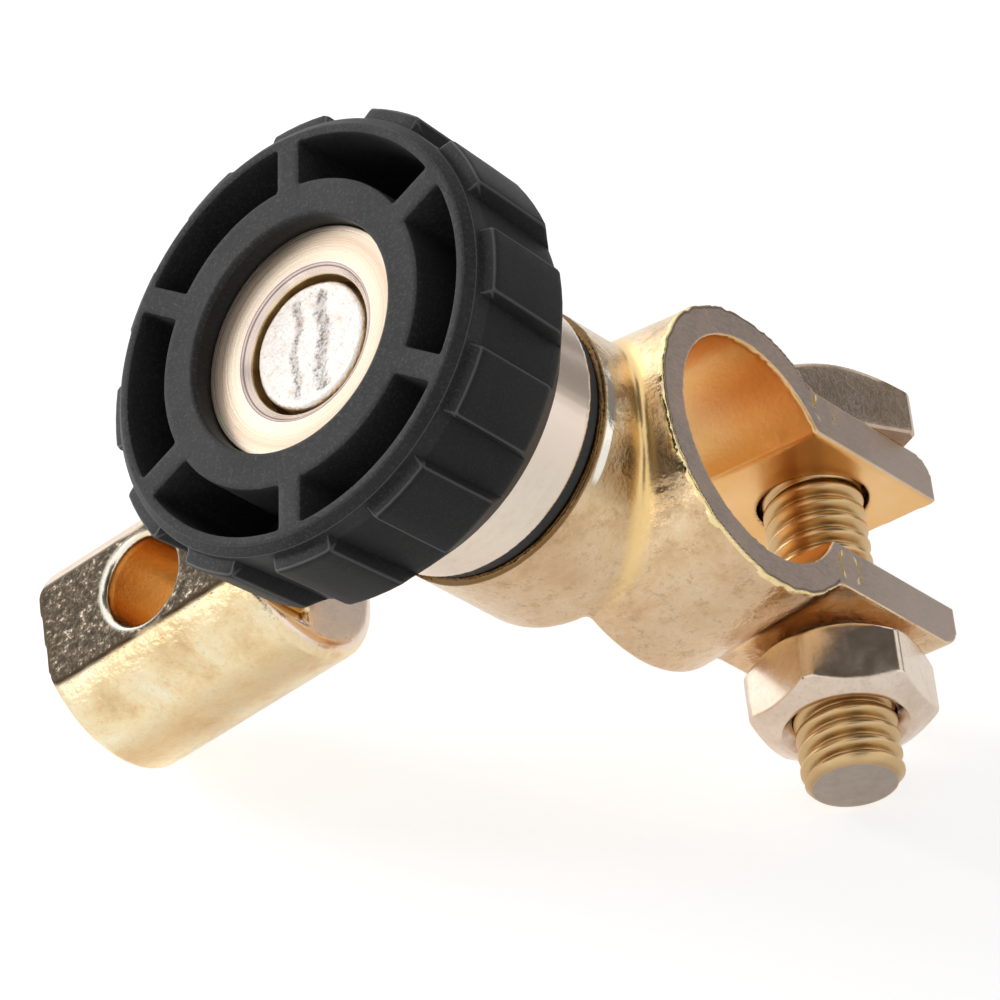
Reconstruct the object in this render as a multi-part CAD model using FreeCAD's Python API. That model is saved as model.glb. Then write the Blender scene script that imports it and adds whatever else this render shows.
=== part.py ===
import FreeCAD, Part
import math
import os

# Battery terminal clamp with a hand knob that makes and breaks the circuit.
#
# Millimetres. +Z points up, away from the battery. The origin is on the axis of the
# post bore, in the plane of the clamp's lower face. The stud, the eye of the cable
# lug and the knob share one axis along X, with the knob on the -X side. The clamp
# bolt lies along Y, with its head on the -Y side.

# Barrel that grips the battery post
barrel_height = 13.5
bore_radius_low = 9.33
bore_taper_per_length = 1 / 9
barrel_radius_low = 11.83
barrel_radius_high = 12.8
barrel_top_round = 0.6

# Ears that the bolt draws together
ear_gap = 9.5
ear_thickness = 3.85
ear_past_bolt = 7.1
ear_end_draft = 0.9
ear_corner_round = 2.0
ear_root_round = 3.0

# Clamp bolt and nut, 5/16 inch with 18 threads per inch
bolt_x = 16.4
bolt_thread_radius = 4.0
bolt_hole_clearance = 0.38
bolt_tail = 11.55
bolt_end_chamfer = 0.75
bolt_head_sides = 4
bolt_head_across_flats = 13.0
bolt_head_height = 5.4
bolt_head_top_radius = 6.2
bolt_head_corner_angle = 20.0
bolt_head_chamfer_angle = 30.0
bolt_head_corner_clearance = 0.3
nut_sides = 6
nut_across_flats = 13.0
nut_height = 6.6
nut_seat_radius = 5.1
nut_seat_chamfer_angle = 37.0
nut_face_radius = 5.5
nut_face_chamfer_angle = 30.0
nut_corner_angle = 13.0

# Boss that carries the stud
stud_axis_height = 13.4
boss_face_distance = 16.4
boss_length = 10.9
boss_radius = 11.15
boss_front_round = 0.4
boss_back_round = 1.5

# Stud, of the bolt's thread, with a plain root and a peened end
stud_root_radius = 5.0
stud_root_depth = 6.2
stud_thread_radius = 4.0
peened_radius = 4.95
peened_thickness = 0.9
peened_flare_length = 0.7
peened_edge_chamfer = 0.3
stud_end_below_bush = 0.5

# Insulator between the lug, the boss and the stud
flange_radius = 10.7
flange_thickness = 1.1
sleeve_wall = 1.95
sleeve_below_eye = 0.3

# Cable lug
eye_radius = 11.1
eye_thickness = 6.9
eye_edge_chamfer = 0.3
neck_width = 11.0
bar_radius = 8.6
bar_flat_depth = 1.1
bar_start = 18.0
bar_front_step = 1.3
bar_start_round = 1.2
bar_end = 37.8
bar_end_round = 0.6
lug_hole_radius = 3.6
lug_hole_distance = 27.85
lug_hole_chamfer = 0.4
lug_swing = 4.6

# Brass bush of the knob
bush_length = 12.5
bush_radius = 9.1
bush_counterbore_radius = 5.97
bush_rim_chamfer = 0.3

# Knob moulding
knob_recess_depth = 1.8
knob_rear_gap = 0.3
knob_rim_radius = 16.96
knob_rim_width = 1.41
knob_rim_chamfer = 0.7
knob_valley_draft = 0.76
knob_rear_radius_below_rim = 3.16
knob_rear_cone_length = 4.7
knob_hub_radius = 12.05
window_depth = 11.0
spoke_width = 2.1
spoke_count = 6
grip_count = 12
grip_width = 5.3
grip_above_rim = 1.14
grip_draft = 0.35
grip_front_step = 1.3
knob_turned_to = 6.1

# Clearances and travel
running_clearance = 0.05
knob_travel = 3.0
stop_clearance = 0.1

# How far a cutting shape reaches past what it cuts
past_cut = 1.0

# Places along the stud, from the boss outwards
boss_face_x = -boss_face_distance
boss_back_x = boss_face_x + boss_length
eye_back_x = boss_face_x - flange_thickness
eye_front_x = eye_back_x - eye_thickness
bush_front_x = eye_front_x - bush_length
knob_front_x = bush_front_x - knob_recess_depth
knob_rear_x = eye_front_x - knob_rear_gap
bar_axis_x = eye_front_x + bar_radius - bar_flat_depth
stud_end_x = bush_front_x + stud_end_below_bush
peened_back_x = stud_end_x + peened_thickness
counterbore_floor_x = peened_back_x + peened_flare_length + knob_travel + stop_clearance

# Radii that fit over one another on the stud
sleeve_inner_radius = stud_thread_radius + running_clearance
sleeve_outer_radius = sleeve_inner_radius + sleeve_wall
eye_bore_radius = sleeve_outer_radius + running_clearance
bush_hole_radius = stud_thread_radius + running_clearance
knob_bore_radius = bush_radius + running_clearance

# Sizes that follow from those above
ear_reach_low = bolt_x + ear_past_bolt
bar_front_start_radius = bar_start + bar_front_step
knob_valley_rear_radius = knob_rim_radius - knob_valley_draft
knob_rear_radius = knob_rim_radius - knob_rear_radius_below_rim
window_outer_radius = knob_rim_radius - knob_rim_width
grip_radius = knob_rim_radius + grip_above_rim
grip_rear_radius = grip_radius - grip_draft
grip_inner_radius = (window_outer_radius + knob_valley_rear_radius) / 2

# Places along the bolt
bolt_axis_height = barrel_height / 2
ear_outer_y = ear_gap / 2 + ear_thickness
bolt_end_y = ear_outer_y + bolt_tail

X_AXIS = FreeCAD.Vector(1, 0, 0)
Y_AXIS = FreeCAD.Vector(0, 1, 0)
Z_AXIS = FreeCAD.Vector(0, 0, 1)


def turned(points, axis_point, axis):
    """Solid of revolution of a closed profile about an axis."""
    wire = Part.makePolygon(points + [points[0]])
    return Part.Face(wire).revolve(axis_point, axis, 360)


def turned_on_stud(profile):
    """Solid of revolution about the stud's axis from (x, radius) points."""
    points = [FreeCAD.Vector(x, 0, stud_axis_height + r) for x, r in profile]
    return turned(points, FreeCAD.Vector(0, 0, stud_axis_height), X_AXIS)


def turned_on_bolt(profile):
    """Solid of revolution about the bolt's axis from (y, radius) points."""
    points = [FreeCAD.Vector(bolt_x, y, bolt_axis_height + r) for y, r in profile]
    return turned(points, FreeCAD.Vector(bolt_x, 0, bolt_axis_height), Y_AXIS)


def box_between(low, high):
    """Box from its lowest corner to its highest."""
    size = [b - a for a, b in zip(low, high)]
    return Part.makeBox(*size, FreeCAD.Vector(*low))


def edges_where(shape, wanted):
    """Edges of a shape whose middle point satisfies a test."""
    return [edge for edge in shape.Edges if wanted(edge.CenterOfMass)]


def about_stud(shape, degrees):
    """Shape turned about the stud's axis."""
    moved = shape.copy()
    moved.rotate(FreeCAD.Vector(0, 0, stud_axis_height), X_AXIS, degrees)
    return moved


def round_about_stud(radius, low_x, high_x):
    """Cylinder about the stud's axis between two places along it."""
    base = FreeCAD.Vector(low_x, 0, stud_axis_height)
    return Part.makeCylinder(radius, high_x - low_x, base, X_AXIS)


# Clamp casting

def barrel_and_ears():
    """Outer form of the barrel with the ears still joined, edges rounded."""
    barrel = Part.makeCone(barrel_radius_low, barrel_radius_high, barrel_height)
    ears = box_between((0, -ear_outer_y, 0), (ear_reach_low, ear_outer_y, barrel_height))
    ear_reach_high = ear_reach_low - ear_end_draft
    beyond = ear_reach_low + past_cut
    draft_profile = Part.makePolygon([
        FreeCAD.Vector(ear_reach_low, -ear_outer_y, 0),
        FreeCAD.Vector(ear_reach_high, -ear_outer_y, barrel_height),
        FreeCAD.Vector(beyond, -ear_outer_y, barrel_height),
        FreeCAD.Vector(beyond, -ear_outer_y, 0),
        FreeCAD.Vector(ear_reach_low, -ear_outer_y, 0),
    ])
    ears = ears.cut(Part.Face(draft_profile).extrude(Y_AXIS * (2 * ear_outer_y)))
    body = barrel.fuse(ears).removeSplitter()

    def at_ear_corner(middle):
        at_side = abs(abs(middle.y) - ear_outer_y) < 0.01
        return at_side and middle.x > ear_reach_high - 0.01 and 0.1 < middle.z < barrel_height - 0.1

    def at_ear_root(middle):
        beside_barrel = 0 < middle.x < barrel_radius_high
        return beside_barrel and ear_outer_y - 0.1 < abs(middle.y) and 0 < middle.z < barrel_height

    body = body.makeFillet(ear_corner_round, edges_where(body, at_ear_corner))
    body = body.makeFillet(ear_root_round, edges_where(body, at_ear_root))
    top_edges = edges_where(body, lambda middle: middle.z > barrel_height - 0.001)
    return body.makeFillet(barrel_top_round, top_edges)


def stud_boss():
    """Round boss on the side of the barrel, standing higher than the barrel."""
    boss = round_about_stud(boss_radius, boss_face_x, boss_back_x)
    front = edges_where(boss, lambda middle: middle.x < boss_face_x + 0.001)
    boss = boss.makeFillet(boss_front_round, front)
    back = edges_where(boss, lambda middle: middle.x > boss_back_x - 0.001)
    return boss.makeFillet(boss_back_round, back)


def post_bore():
    """Tapered hole for the battery post, wide end down, on up through the boss."""
    top = stud_axis_height + boss_radius + past_cut
    slope = bore_taper_per_length / 2
    low = bore_radius_low + past_cut * slope
    high = bore_radius_low - top * slope
    return Part.makeCone(low, high, top + past_cut, FreeCAD.Vector(0, 0, -past_cut))


def ear_slot():
    """Gap that lets the barrel close on the post."""
    half = ear_gap / 2
    return box_between(
        (0, -half, -past_cut),
        (ear_reach_low + past_cut, half, barrel_height + past_cut),
    )


def bolt_hole():
    """Clearance hole through both ears."""
    radius = bolt_thread_radius + bolt_hole_clearance
    base = FreeCAD.Vector(bolt_x, -ear_outer_y - past_cut, bolt_axis_height)
    return Part.makeCylinder(radius, 2 * (ear_outer_y + past_cut), base, Y_AXIS)


def bolt_head_seat():
    """Round spot face on the far ear, so that the head's corners clear the barrel."""
    radius = corner_radius(bolt_head_across_flats, bolt_head_sides) + bolt_head_corner_clearance
    depth = bolt_head_height
    base = FreeCAD.Vector(bolt_x, -ear_outer_y - depth, bolt_axis_height)
    return Part.makeCylinder(radius, depth, base, Y_AXIS)


def stud_seat():
    """Blind hole in the boss that holds the root of the stud."""
    return round_about_stud(stud_root_radius, boss_face_x, boss_face_x + stud_root_depth)


def clamp_casting():
    body = barrel_and_ears().fuse(stud_boss())
    for hollow in (post_bore(), ear_slot(), bolt_hole(), bolt_head_seat(), stud_seat()):
        body = body.cut(hollow)
    return body.removeSplitter()


# Clamp bolt and nut

def prism_on_bolt(sides, across_flats, start_y, end_y, corner_angle):
    """Regular prism about the bolt's axis, one corner at an angle from +X to +Z."""
    reach = corner_radius(across_flats, sides)
    points = []
    for i in range(sides + 1):
        angle = math.radians(corner_angle) + 2 * math.pi * i / sides
        x = bolt_x + reach * math.cos(angle)
        z = bolt_axis_height + reach * math.sin(angle)
        points.append(FreeCAD.Vector(x, start_y, z))
    return Part.Face(Part.makePolygon(points)).extrude(Y_AXIS * (end_y - start_y))


def corner_radius(across_flats, sides):
    """Distance from the axis of a regular prism to its corners."""
    return across_flats / 2 / math.cos(math.pi / sides)


def chamfer_height(past, face_radius, chamfer_angle):
    """Height that a chamfer loses from the edge of its face out to a radius past the corners."""
    return (past - face_radius) * math.tan(math.radians(chamfer_angle))


def clamp_bolt():
    seat_y = -ear_outer_y
    top_y = seat_y - bolt_head_height
    head = prism_on_bolt(bolt_head_sides, bolt_head_across_flats, seat_y, top_y, bolt_head_corner_angle)
    past = corner_radius(bolt_head_across_flats, bolt_head_sides) + past_cut
    drop = chamfer_height(past, bolt_head_top_radius, bolt_head_chamfer_angle)
    crown = turned_on_bolt([
        (seat_y, 0),
        (seat_y, past),
        (top_y + drop, past),
        (top_y, bolt_head_top_radius),
        (top_y, 0),
    ])
    shank = turned_on_bolt([
        (seat_y, 0),
        (seat_y, bolt_thread_radius),
        (bolt_end_y - bolt_end_chamfer, bolt_thread_radius),
        (bolt_end_y, bolt_thread_radius - bolt_end_chamfer),
        (bolt_end_y, 0),
    ])
    return head.common(crown).fuse(shank).removeSplitter()


def clamp_nut():
    near_y = ear_outer_y
    far_y = near_y + nut_height
    hexagon = prism_on_bolt(nut_sides, nut_across_flats, near_y, far_y, nut_corner_angle)
    past = corner_radius(nut_across_flats, nut_sides) + past_cut
    seat_drop = chamfer_height(past, nut_seat_radius, nut_seat_chamfer_angle)
    face_drop = chamfer_height(past, nut_face_radius, nut_face_chamfer_angle)
    hole_radius = bolt_thread_radius + running_clearance
    rounded = turned_on_bolt([
        (near_y, hole_radius),
        (near_y, nut_seat_radius),
        (near_y + seat_drop, past),
        (far_y - face_drop, past),
        (far_y, nut_face_radius),
        (far_y, hole_radius),
    ])
    return hexagon.common(rounded)


# Stud and insulator

def stud():
    return turned_on_stud([
        (boss_face_x + stud_root_depth, 0),
        (boss_face_x + stud_root_depth, stud_root_radius),
        (boss_face_x, stud_root_radius),
        (boss_face_x, stud_thread_radius),
        (peened_back_x + peened_flare_length, stud_thread_radius),
        (peened_back_x, peened_radius),
        (stud_end_x + peened_edge_chamfer, peened_radius),
        (stud_end_x, peened_radius - peened_edge_chamfer),
        (stud_end_x, 0),
    ])


def insulating_bush():
    """Flange against the boss and sleeve inside the eye of the lug."""
    return turned_on_stud([
        (boss_face_x, sleeve_inner_radius),
        (boss_face_x, flange_radius),
        (eye_back_x, flange_radius),
        (eye_back_x, sleeve_outer_radius),
        (eye_front_x + sleeve_below_eye, sleeve_outer_radius),
        (eye_front_x + sleeve_below_eye, sleeve_inner_radius),
    ])


# Cable lug

def lug_eye():
    return turned_on_stud([
        (eye_back_x, 0),
        (eye_back_x, eye_radius - eye_edge_chamfer),
        (eye_back_x - eye_edge_chamfer, eye_radius),
        (eye_front_x + eye_edge_chamfer, eye_radius),
        (eye_front_x, eye_radius - eye_edge_chamfer),
        (eye_front_x, 0),
    ])


def lug_bar(z0):
    """Round bar with a flat in line with the eye's front and a start cut round the knob."""
    bar_base = FreeCAD.Vector(bar_axis_x, 0, z0 + bar_start)
    bar = Part.makeCylinder(bar_radius, bar_end - bar_start, bar_base, Z_AXIS)
    tip = edges_where(bar, lambda middle: middle.z > z0 + bar_end - 0.001)
    bar = bar.makeFillet(bar_end_round, tip)
    start = edges_where(bar, lambda middle: middle.z < z0 + bar_start + 0.001)
    bar = bar.makeFillet(bar_start_round, start)
    front_of_flat = box_between(
        (eye_front_x - bar_radius, -bar_radius, z0 + bar_start - past_cut),
        (eye_front_x, bar_radius, z0 + bar_end + past_cut),
    )
    knob_room = round_about_stud(bar_front_start_radius, eye_front_x - past_cut, eye_back_x)
    return bar.cut(front_of_flat).cut(knob_room)


def cable_lug():
    """Eye, neck and bar. The bar leaves the eye upwards, then swings to its rest place."""
    z0 = stud_axis_height
    half = neck_width / 2
    neck = box_between(
        (eye_front_x, -half, z0),
        (eye_back_x, half, z0 + bar_front_start_radius),
    )
    neck = neck.common(round_about_stud(bar_front_start_radius, eye_front_x, eye_back_x))
    lug = lug_eye().fuse([neck, lug_bar(z0)])
    lug = lug.cut(lug_hole(z0)).cut(eye_bore())
    return about_stud(lug.removeSplitter(), -lug_swing)


def lug_hole(z0):
    """Cross hole in the bar with a chamfered mouth on the flat."""
    mouth = FreeCAD.Vector(eye_front_x, 0, z0 + lug_hole_distance)
    through = Part.makeCylinder(lug_hole_radius, 2 * bar_radius, mouth, X_AXIS)
    chamfer = Part.makeCone(lug_hole_radius + lug_hole_chamfer, lug_hole_radius,
                            lug_hole_chamfer, mouth, X_AXIS)
    return through.fuse(chamfer)


def eye_bore():
    return round_about_stud(eye_bore_radius, eye_front_x - past_cut, eye_back_x + past_cut)


# Knob and its bush

def knob_bush():
    return turned_on_stud([
        (eye_front_x, bush_hole_radius),
        (eye_front_x, bush_radius),
        (bush_front_x, bush_radius),
        (bush_front_x, bush_counterbore_radius + bush_rim_chamfer),
        (bush_front_x + bush_rim_chamfer, bush_counterbore_radius),
        (counterbore_floor_x, bush_counterbore_radius),
        (counterbore_floor_x, bush_hole_radius),
    ])


def knob_body():
    """Turned form of the knob without windows, grips and rear cone."""
    return turned_on_stud([
        (knob_front_x, knob_bore_radius),
        (knob_front_x, knob_rim_radius - knob_rim_chamfer),
        (knob_front_x + knob_rim_chamfer, knob_rim_radius),
        (knob_rear_x, knob_valley_rear_radius),
        (knob_rear_x, knob_bore_radius),
    ])


def grip_ring():
    """Ring that the separate grips are cut from."""
    grip_front_x = knob_front_x + grip_front_step
    return turned_on_stud([
        (grip_front_x, grip_inner_radius),
        (grip_front_x, grip_radius),
        (knob_rear_x, grip_rear_radius),
        (knob_rear_x, grip_inner_radius),
    ])


def rear_cone():
    """Everything inside the cone that ends the grips and the valleys behind."""
    cone_start_x = knob_rear_x - knob_rear_cone_length
    past = grip_radius + past_cut
    slope = knob_rear_cone_length / (grip_rear_radius - knob_rear_radius)
    past_x = cone_start_x - (past - grip_rear_radius) * slope
    return turned_on_stud([
        (knob_front_x, 0),
        (knob_front_x, past),
        (past_x, past),
        (knob_rear_x, knob_rear_radius),
        (knob_rear_x, 0),
    ])


def radial_bar(width, length):
    """Bar from the stud's axis outwards along +Y, as long as the knob is deep."""
    half = width / 2
    return box_between(
        (knob_front_x - past_cut, 0, stud_axis_height - half),
        (knob_rear_x + past_cut, length, stud_axis_height + half),
    )


def knob_windows():
    """Blind windows between the spokes, open at the front."""
    ring = turned_on_stud([
        (knob_front_x - past_cut, knob_hub_radius),
        (knob_front_x - past_cut, window_outer_radius),
        (knob_front_x + window_depth, window_outer_radius),
        (knob_front_x + window_depth, knob_hub_radius),
    ])
    spoke = radial_bar(spoke_width, knob_rim_radius)
    spokes = [about_stud(spoke, knob_turned_to + i * 360 / spoke_count) for i in range(spoke_count)]
    return ring.cut(Part.makeCompound(spokes))


def knob():
    ring = grip_ring()
    grips = []
    for i in range(grip_count):
        bar = radial_bar(grip_width, grip_radius + past_cut)
        grips.append(ring.common(about_stud(bar, knob_turned_to + i * 360 / grip_count)))
    body = knob_body().fuse(grips).common(rear_cone()).cut(knob_windows())
    return body.removeSplitter()


NODES = {
    "clamp_casting": clamp_casting,
    "stud": stud,
    "insulating_bush": insulating_bush,
    "cable_lug": cable_lug,
    "knob_bush": knob_bush,
    "knob": knob,
    "clamp_bolt": clamp_bolt,
    "clamp_nut": clamp_nut,
}


os.makedirs("parts", exist_ok=True)
for name, make in NODES.items():
    solid = make()
    solid.exportStep("parts/" + name + ".step")
    print(name, len(solid.Solids), solid.isValid(), round(solid.Volume, 1), solid.BoundBox)
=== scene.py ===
import math

import bmesh
import bpy
import numpy as np
from mathutils import Matrix, Vector


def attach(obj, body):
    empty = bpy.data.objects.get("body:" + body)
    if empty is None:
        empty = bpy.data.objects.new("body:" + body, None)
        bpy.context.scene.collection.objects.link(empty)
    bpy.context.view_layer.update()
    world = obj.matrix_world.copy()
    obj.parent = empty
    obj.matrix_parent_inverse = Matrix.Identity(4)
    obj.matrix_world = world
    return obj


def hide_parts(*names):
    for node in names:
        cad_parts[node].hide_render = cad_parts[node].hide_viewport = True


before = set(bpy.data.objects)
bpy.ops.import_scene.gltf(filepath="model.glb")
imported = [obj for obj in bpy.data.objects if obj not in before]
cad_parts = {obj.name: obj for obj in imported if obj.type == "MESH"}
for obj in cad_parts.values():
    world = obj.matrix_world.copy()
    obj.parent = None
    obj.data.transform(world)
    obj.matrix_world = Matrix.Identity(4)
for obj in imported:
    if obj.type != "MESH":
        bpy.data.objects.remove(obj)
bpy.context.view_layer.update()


# Clamp casting. One gold-plated casting: a split barrel for the battery post, two ears for
# the clamp bolt and a round boss for the stud. Its lower face is ground flat after plating,
# so bare metal shows there, with bright burrs along its edges.

casting_cell = 0.000225
casting_rounds = 3
smooth_step = 0.5
smooth_back = 0.52
stud_axis_height = 13.4
boss_front = -16.4
ground_depth = 0.3
bore_reach = 9.8
gap_reach = 5.0
gap_start = 4.0
crease_full = 0.03
crease_rounds = 14
hollow_full = 0.02
hollow_rounds = 26
burr_waves = ((5, 1), (11, 2), (23, 0), (37, 0))
burr_height = 0.12
burr_radius = 11.2
rim_line_radius = 11.62
rim_line_half = 0.22
highlight_angle = math.radians(285)
highlight_middle = 0.95
dark_reflection_angle = math.radians(154)
dark_reflection_height = 2.6
dark_reflection_reach = (4.0, 3.2)
punch_marks = ((9.7, 6.6), (9.4, -7.2))
punch_radius = 1.28
punch_line = 0.19


def point_values(mesh):
    """Places and normals of a mesh's points, in millimetres, and its edges as pairs."""
    count = len(mesh.vertices)
    places = np.empty(count * 3)
    normals = np.empty(count * 3, np.float32)
    pairs = np.empty(len(mesh.edges) * 2, np.int32)
    mesh.vertices.foreach_get("co", places)
    mesh.vertices.foreach_get("normal", normals)
    mesh.edges.foreach_get("vertices", pairs)
    return places.reshape(-1, 3) * 1000, normals.reshape(-1, 3), pairs.reshape(-1, 2)


def set_places(mesh, places):
    """Moves a mesh's points to places in millimetres."""
    mesh.vertices.foreach_set("co", (places / 1000).ravel())
    mesh.update()


def fade(values, none, full):
    """0 where the values are at none, 1 where they are at full, and straight in between."""
    return np.clip((values - none) / (full - none), 0, 1)


def neighbour_mean(values, pairs):
    """Mean of each column of values over the points at the other ends of a point's edges."""
    here = np.concatenate([pairs[:, 0], pairs[:, 1]])
    there = np.concatenate([pairs[:, 1], pairs[:, 0]])
    count = np.maximum(np.bincount(here, minlength=len(values)), 1)
    sums = [np.bincount(here, weights=column[there], minlength=len(values)) for column in values.T]
    return np.stack(sums, axis=1) / count[:, None]


def attribute(piece, name, values):
    """Keeps one number for each point of a piece's mesh under a name."""
    made = piece.data.attributes.new(name, "FLOAT", "POINT")
    made.data.foreach_set("value", np.ascontiguousarray(values, np.float32))


def link(piece):
    """Puts an object into the scene."""
    bpy.context.scene.collection.objects.link(piece)
    return piece


def merge_points(mesh, distance):
    """Joins the points of a mesh that lie closer together than a distance in metres."""
    shell = bmesh.new()
    shell.from_mesh(mesh)
    bmesh.ops.remove_doubles(shell, verts=shell.verts, dist=distance)
    shell.to_mesh(mesh)
    shell.free()


def cast_copy(node, cell, rounds):
    """Closed copy of a CAD node with soft cast edges.

    The copy is merged and rebuilt on cubes of one cell. Then each point moves half of the
    way to the mean of its neighbours and a little more than half of the way back, a number
    of times, which rounds the edges and keeps the volume.
    """
    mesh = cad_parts[node].data.copy()
    merge_points(mesh, 2e-6)
    piece = link(bpy.data.objects.new("cast_" + node, mesh))
    cells = piece.modifiers.new("cells", "REMESH")
    cells.mode = "VOXEL"
    cells.voxel_size = cell
    rebuilt = piece.evaluated_get(bpy.context.evaluated_depsgraph_get())
    piece.data = bpy.data.meshes.new_from_object(rebuilt)
    piece.modifiers.clear()
    places, _, pairs = point_values(piece.data)
    for _ in range(rounds):
        places += smooth_step * (neighbour_mean(places, pairs) - places)
        places -= smooth_back * (neighbour_mean(places, pairs) - places)
    piece.data.polygons.foreach_set("use_smooth", np.ones(len(piece.data.polygons), bool))
    set_places(piece.data, places)
    return piece


def edge_strength(piece, cell, rounds):
    """How far each point stands out of its neighbours: positive on outer edges, in cells."""
    places, normals, pairs = point_values(piece.data)
    out = np.sum((places - neighbour_mean(places, pairs)) * normals, axis=1) / (cell * 1000)
    for _ in range(rounds):
        out = neighbour_mean(out[:, None], pairs)[:, 0]
    return out


def node_tools(tree):
    """Two functions for a node tree: one adds a node with its settings, one fills sockets.

    Both take sockets as a dictionary from a name or number to a plain value or an output.
    """

    def fill(node, sockets):
        for key, value in sockets.items():
            if isinstance(value, bpy.types.NodeSocket):
                tree.links.new(value, node.inputs[key])
            else:
                node.inputs[key].default_value = value

    def add(kind, sockets, **settings):
        node = tree.nodes.new("ShaderNode" + kind)
        for key, value in settings.items():
            setattr(node, key, value)
        fill(node, sockets)
        return node

    return add, fill


def new_finish(name):
    """New material, its Principled shader and the two functions for its node tree."""
    material = bpy.data.materials.new(name)
    material.use_nodes = True
    tree = material.node_tree
    return material, tree.nodes["Principled BSDF"], *node_tools(tree)


def ramp(add, factor, stops):
    """Colour that runs through the stops, each a place from 0 to 1 and a colour or a grey."""
    node = add("ValToRGB", {0: factor})
    elements = node.color_ramp.elements
    while len(elements) < len(stops):
        elements.new(0.5)
    for element, (place, colour) in zip(elements, stops):
        element.position = place
        shade = (colour,) * 3 if isinstance(colour, float) else colour
        element.color = (*shade, 1)
    return node.outputs["Color"]


def spots(add, where, scale, detail=4.0, roughness=0.55, distortion=0.0):
    """Noise of a scale in patches for each metre, stretched as its place says."""
    values = {"Vector": where, "Scale": scale, "Detail": detail, "Roughness": roughness}
    values["Distortion"] = distortion
    return add("TexNoise", values).outputs["Fac"]


def mixed(add, factor, first, second):
    """First colour, going over to the second as the factor goes from 0 to 1."""
    node = add("Mix", {0: factor, 6: first, 7: second}, data_type="RGBA")
    return node.outputs[2]


def mixed_value(add, factor, first, second):
    """First number, going over to the second as the factor goes from 0 to 1."""
    return add("Mix", {0: factor, 2: first, 3: second}).outputs[0]


def mixed_normal(add, factor, first, second):
    """First normal, going over to the second as the factor goes from 0 to 1."""
    return add("Mix", {0: factor, 4: first, 5: second}, data_type="VECTOR").outputs[1]


def layered(add, result, layers, mix=mixed):
    """Colour or number with others laid over it in turn, each after its share from 0 to 1."""
    for share, over in layers:
        over = (*over, 1) if isinstance(over, tuple) else over
        result = mix(add, share, result, over)
    return result


def spread(add, value, low, high, first=0.0, second=1.0):
    """Number that goes from first to second as the value goes from low to high."""
    node = add("MapRange", {0: value, 1: low, 2: high, 3: first, 4: second})
    node.interpolation_type = "SMOOTHSTEP"
    return node.outputs[0]


def own_value(add, name):
    """The numbers that a piece's mesh keeps under a name."""
    return add("Attribute", {}, attribute_name=name).outputs["Fac"]


def own_place(add):
    """Place on the piece, in metres."""
    return add("TexCoord", {}).outputs["Object"]


def stretched(add, where, scale, turn=(0, 0, 0)):
    """Places of a pattern that is turned and drawn out along some of its axes."""
    values = {"Vector": where, "Scale": scale, "Rotation": turn}
    return add("Mapping", values).outputs["Vector"]


def way_from(add, where, point, axes):
    """Way to a place from a point in millimetres, along the axes that are 1 and not 0."""
    back = tuple(-number / 1000 for number in point)
    return add("Mapping", {"Vector": where, "Location": back, "Scale": axes}).outputs[0]


def way_length(add, way):
    """Length of a way, in metres."""
    return add("VectorMath", {0: way}, operation="LENGTH").outputs["Value"]


def worked(add, operation, *numbers, **settings):
    """Result of one step of arithmetic on one, two or three numbers."""
    return add("Math", dict(enumerate(numbers)), operation=operation, **settings).outputs[0]


def relief(add, height, depth, strength, below=None, invert=False):
    """Normal that a pattern of heights gives, over the normal below it if there is one."""
    values = {"Strength": strength, "Distance": depth, "Height": height}
    if below is not None:
        values["Normal"] = below
    return add("Bump", values, invert=invert).outputs[0]


def grime(add, place, low, high, most):
    """Share of ragged dark patches about 1.5 mm wide."""
    return spread(add, spots(add, place, 700, 8.0, 0.85, 0.2), low, high, 0.0, most)


def cast_gold(name, tones, patch_scale, rough_low, rough_high):
    """Mottled gold plating on a casting, in three tones from dark to light.

    The parts are its colour, roughness and the share of a painted highlight on its outer
    edges, and two normals: bump has lumps and grain, and calm has a little grain only.
    """
    material, shader, add, fill = new_finish(name)
    place = own_place(add)
    patches = spots(add, place, patch_scale, 8.0, 0.66, 0.3)
    specks = spots(add, place, 3300, 4.0, 0.7)
    grain = spots(add, place, 3000, 4.0)
    lumps = relief(add, spots(add, place, 420, 3.0), 0.0003, 0.6)
    # Painted highlight: the outer edges are lighter, the more so the further they stand out.
    edge = spread(add, own_value(add, "edge"), 0.06, 0.22)
    parts = {
        "colour": layered(add, ramp(add, patches, list(zip((0.31, 0.48, 0.66), tones))), [
            (spread(add, specks, 0.5, 0.7, 0.0, 0.36), tones[0]),
            (edge, (1.0, 0.84, 0.52)),
        ]),
        "rough": spread(add, patches, 0.35, 0.65, rough_low, rough_high),
        "bump": relief(add, grain, 0.00006, 0.55, lumps),
        "calm": relief(add, grain, 0.00004, 0.3),
        "edge": edge,
    }
    fill(shader, {"Metallic": 1.0})
    return material, shader, add, fill, place, parts


casting = cast_copy("clamp_casting", casting_cell, casting_rounds)
casting_places, casting_normals, casting_pairs = point_values(casting.data)
casting_x, casting_y, casting_z = casting_places.T
creased = fade(-edge_strength(casting, casting_cell, 3), 0, crease_full)[:, None]
for _ in range(crease_rounds):
    to_mean = neighbour_mean(casting_places, casting_pairs) - casting_places
    casting_places += smooth_step * creased * to_mean
set_places(casting.data, casting_places)
casting_edge = edge_strength(casting, casting_cell, 1)
from_bore = np.hypot(casting_x, casting_y)
around = np.arctan2(casting_y, casting_x)
ragged = sum(np.sin(waves * around + start) for waves, start in burr_waves) / 2.4
at_rim = fade(casting_z, 0.42 + 0.2 * ragged, 0.27 + 0.2 * ragged)
at_rim *= fade(from_bore, burr_radius, burr_radius + 0.3) * fade(casting_x, 9.0, 7.0)
outward = casting_places[:, :2] / np.maximum(from_bore, 0.1)[:, None]
raised = burr_height * at_rim * fade(ragged, -0.3, 0.7)
casting_places[:, :2] += outward * raised[:, None]
set_places(casting.data, casting_places)
attribute(casting, "edge", casting_edge)
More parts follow.
